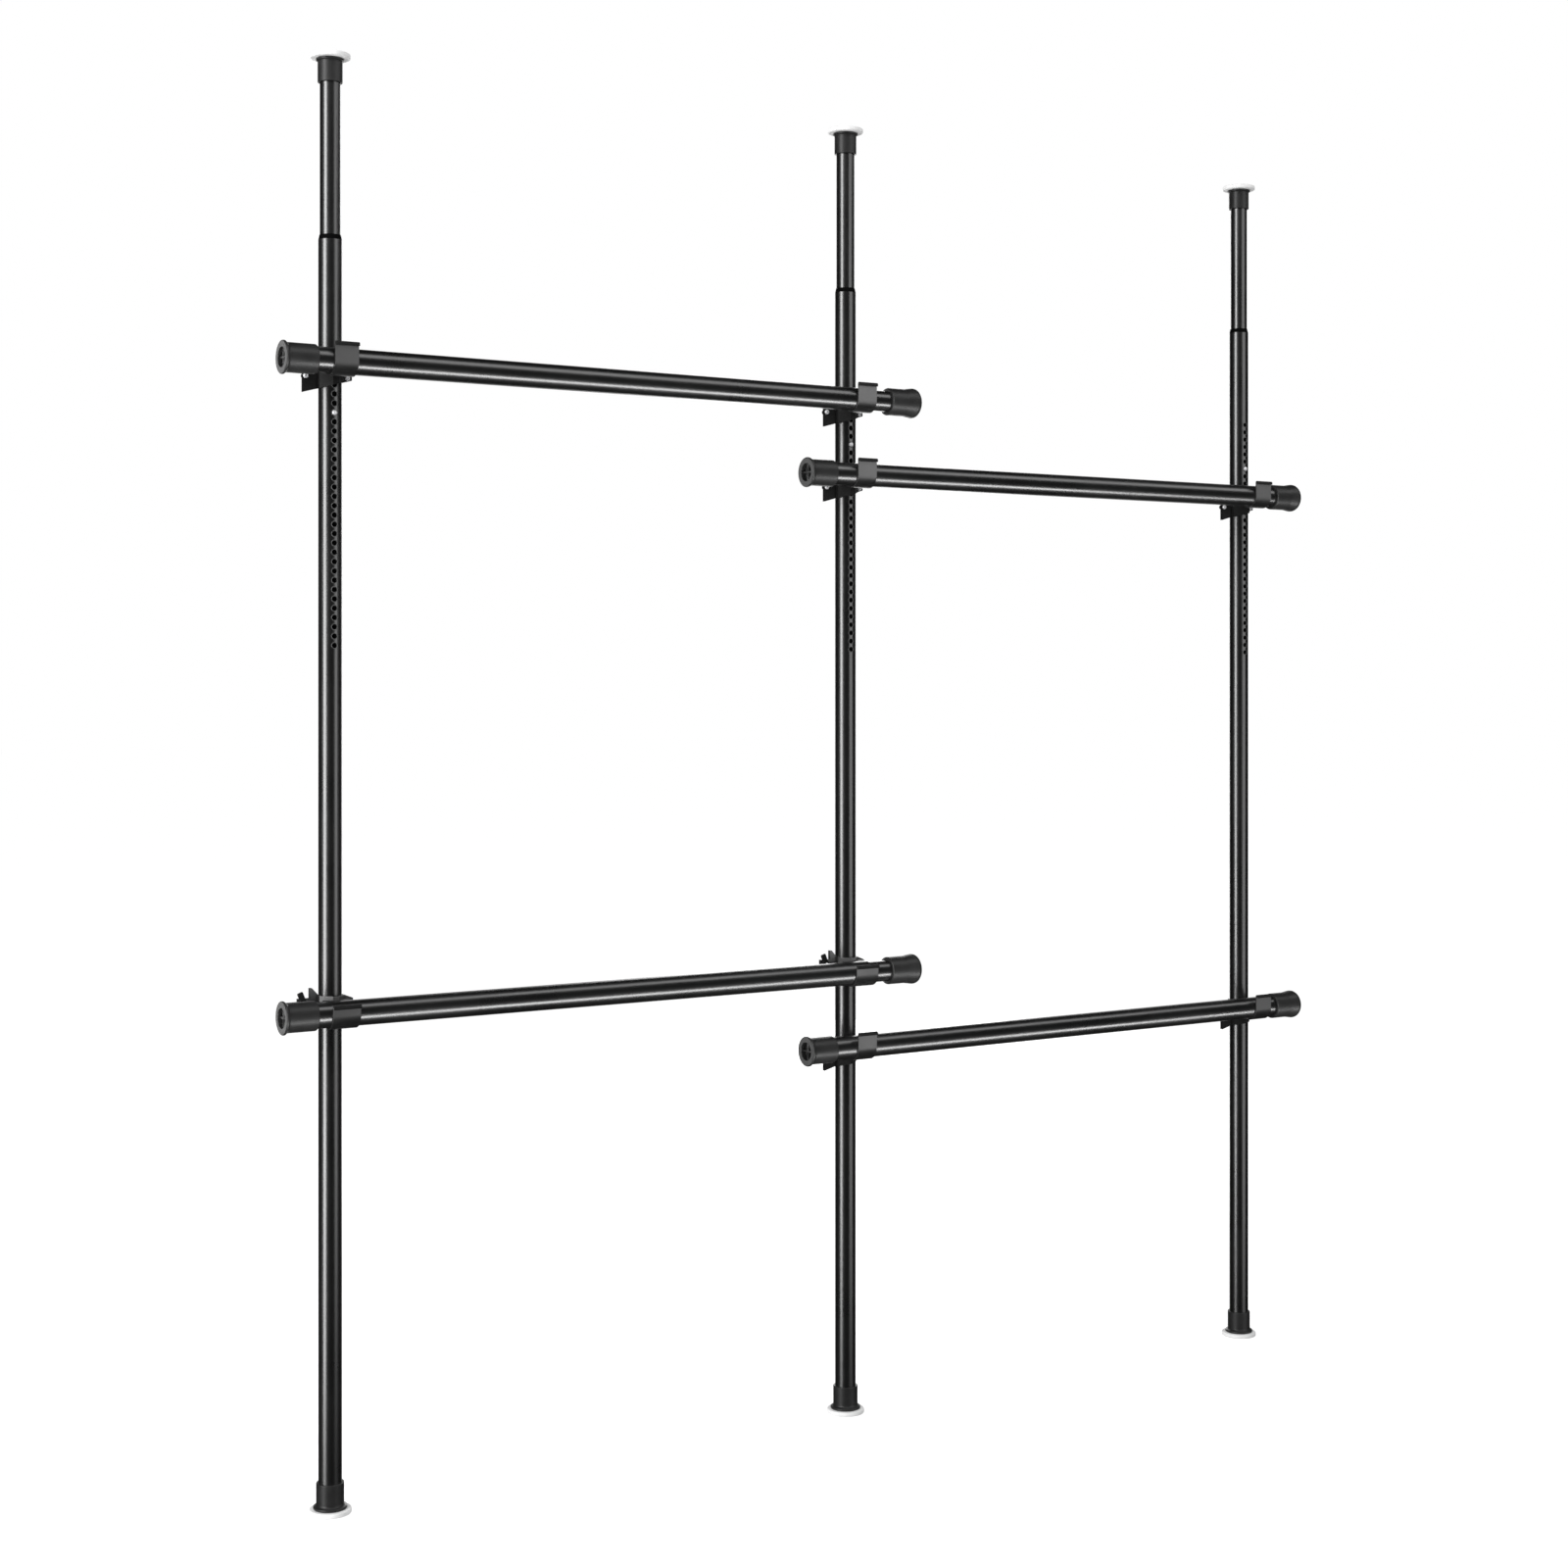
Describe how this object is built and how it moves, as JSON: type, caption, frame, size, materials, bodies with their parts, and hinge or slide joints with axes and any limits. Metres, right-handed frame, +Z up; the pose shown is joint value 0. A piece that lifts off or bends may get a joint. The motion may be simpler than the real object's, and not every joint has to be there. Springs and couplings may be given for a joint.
{
  "type": "open frame wardrobe",
  "caption": "Black open wardrobe frame held between floor and ceiling: telescopic uprights carry telescopic hanging rails in clamped hooks.",
  "frame": {"origin": "on the floor, on the axis of the middle upright", "axes": "+Z up, +X along the rails to the right as seen from the front, -Y to the front where the rails hang"},
  "size_m": [2.176, 0.1117, 2.357],
  "materials": {
    "black_tube": "satin",
    "painted_plate": "satin",
    "black_plastic": "matte",
    "bright_steel": "bright",
    "white_pad": "matte"
  },
  "bodies": {
    "frame": {"lower_tube_left": "black_tube", "lower_tube_mid": "black_tube", "lower_tube_right": "black_tube", "foot_cap_left": "black_plastic", "foot_cap_mid": "black_plastic", "foot_cap_right": "black_plastic", "floor_pads": "white_pad", "tube_collars": "black_plastic"},
    "upper_left": {"upper_tube_left": "black_tube", "head_cap_left": "black_plastic", "ceiling_pad_left": "white_pad", "snap_spring_left": "bright_steel"},
    "button_left": {"snap_button_left": "bright_steel"},
    "upper_mid": {"upper_tube_mid": "black_tube", "head_cap_mid": "black_plastic", "ceiling_pad_mid": "white_pad", "snap_spring_mid": "bright_steel"},
    "button_mid": {"snap_button_mid": "bright_steel"},
    "upper_right": {"upper_tube_right": "black_tube", "head_cap_right": "black_plastic", "ceiling_pad_right": "white_pad", "snap_spring_right": "bright_steel"},
    "button_right": {"snap_button_right": "bright_steel"},
    "brackets_upper_left": {"hook_plate_upper_left_left": "painted_plate", "hook_plate_upper_left_mid": "painted_plate", "rear_clamp_upper_left_left": "painted_plate", "rear_clamp_upper_left_mid": "painted_plate", "clamp_bolts_upper_left": "bright_steel"},
    "rail_upper_left": {"rail_outer_upper_left": "black_tube", "rail_cap_left_upper_left": "black_plastic"},
    "inner_upper_left": {"rail_inner_upper_left": "black_tube", "rail_cap_right_upper_left": "black_plastic"},
    "brackets_lower_left": {"hook_plate_lower_left_left": "painted_plate", "hook_plate_lower_left_mid": "painted_plate", "rear_clamp_lower_left_left": "painted_plate", "rear_clamp_lower_left_mid": "painted_plate", "clamp_bolts_lower_left": "bright_steel"},
    "rail_lower_left": {"rail_outer_lower_left": "black_tube", "rail_cap_left_lower_left": "black_plastic"},
    "inner_lower_left": {"rail_inner_lower_left": "black_tube", "rail_cap_right_lower_left": "black_plastic"},
    "brackets_upper_right": {"hook_plate_upper_right_mid": "painted_plate", "hook_plate_upper_right_right": "painted_plate", "rear_clamp_upper_right_mid": "painted_plate", "rear_clamp_upper_right_right": "painted_plate", "clamp_bolts_upper_right": "bright_steel"},
    "rail_upper_right": {"rail_outer_upper_right": "black_tube", "rail_cap_left_upper_right": "black_plastic"},
    "inner_upper_right": {"rail_inner_upper_right": "black_tube", "rail_cap_right_upper_right": "black_plastic"},
    "brackets_lower_right": {"hook_plate_lower_right_mid": "painted_plate", "hook_plate_lower_right_right": "painted_plate", "rear_clamp_lower_right_mid": "painted_plate", "rear_clamp_lower_right_right": "painted_plate", "clamp_bolts_lower_right": "bright_steel"},
    "rail_lower_right": {"rail_outer_lower_right": "black_tube", "rail_cap_left_lower_right": "black_plastic"},
    "inner_lower_right": {"rail_inner_lower_right": "black_tube", "rail_cap_right_lower_right": "black_plastic"}
  },
  "joints": [
    {"name": "upright_height_left", "type": "slide", "parent": "frame", "child": "upper_left", "axis": [0, 0, 1], "range_m": [-0.18, 0.09]},
    {"name": "button_press_left", "type": "slide", "parent": "upper_left", "child": "button_left", "axis": [0, 1, 0], "range_m": [0, 0.005], "stiffness_N_per_m": 2000, "deforming": ["snap_spring_left"]},
    {"name": "upright_height_mid", "type": "slide", "parent": "frame", "child": "upper_mid", "axis": [0, 0, 1], "range_m": [-0.18, 0.09]},
    {"name": "button_press_mid", "type": "slide", "parent": "upper_mid", "child": "button_mid", "axis": [0, 1, 0], "range_m": [0, 0.005], "stiffness_N_per_m": 2000, "deforming": ["snap_spring_mid"]},
    {"name": "upright_height_right", "type": "slide", "parent": "frame", "child": "upper_right", "axis": [0, 0, 1], "range_m": [-0.18, 0.09]},
    {"name": "button_press_right", "type": "slide", "parent": "upper_right", "child": "button_right", "axis": [0, 1, 0], "range_m": [0, 0.005], "stiffness_N_per_m": 2000, "deforming": ["snap_spring_right"]},
    {"name": "rail_height_upper_left", "type": "slide", "parent": "frame", "child": "brackets_upper_left", "axis": [0, 0, 1], "range_m": [-0.045, 0.18]},
    {"name": "rail_shift_upper_left", "type": "slide", "parent": "brackets_upper_left", "child": "rail_upper_left", "axis": [1, 0, 0], "range_m": [-0.012, 0.02]},
    {"name": "rail_extend_upper_left", "type": "slide", "parent": "rail_upper_left", "child": "inner_upper_left", "axis": [1, 0, 0], "range_m": [-0.008, 0.28]},
    {"name": "rail_height_lower_left", "type": "slide", "parent": "frame", "child": "brackets_lower_left", "axis": [0, 0, 1], "range_m": [-0.06, 0.75]},
    {"name": "rail_shift_lower_left", "type": "slide", "parent": "brackets_lower_left", "child": "rail_lower_left", "axis": [1, 0, 0], "range_m": [-0.012, 0.015]},
    {"name": "rail_extend_lower_left", "type": "slide", "parent": "rail_lower_left", "child": "inner_lower_left", "axis": [1, 0, 0], "range_m": [-0.006, 0.28]},
    {"name": "rail_height_upper_right", "type": "slide", "parent": "frame", "child": "brackets_upper_right", "axis": [0, 0, 1], "range_m": [-0.75, 0.045]},
    {"name": "rail_shift_upper_right", "type": "slide", "parent": "brackets_upper_right", "child": "rail_upper_right", "axis": [1, 0, 0], "range_m": [0, 0.036]},
    {"name": "rail_extend_upper_right", "type": "slide", "parent": "rail_upper_right", "child": "inner_upper_right", "axis": [1, 0, 0], "range_m": [-0.003, 0.28]},
    {"name": "rail_height_lower_right", "type": "slide", "parent": "frame", "child": "brackets_lower_right", "axis": [0, 0, 1], "range_m": [-0.56, 0.06]},
    {"name": "rail_shift_lower_right", "type": "slide", "parent": "brackets_lower_right", "child": "rail_lower_right", "axis": [1, 0, 0], "range_m": [0, 0.036]},
    {"name": "rail_extend_lower_right", "type": "slide", "parent": "rail_lower_right", "child": "inner_lower_right", "axis": [1, 0, 0], "range_m": [-0.003, 0.28]}
  ]
}
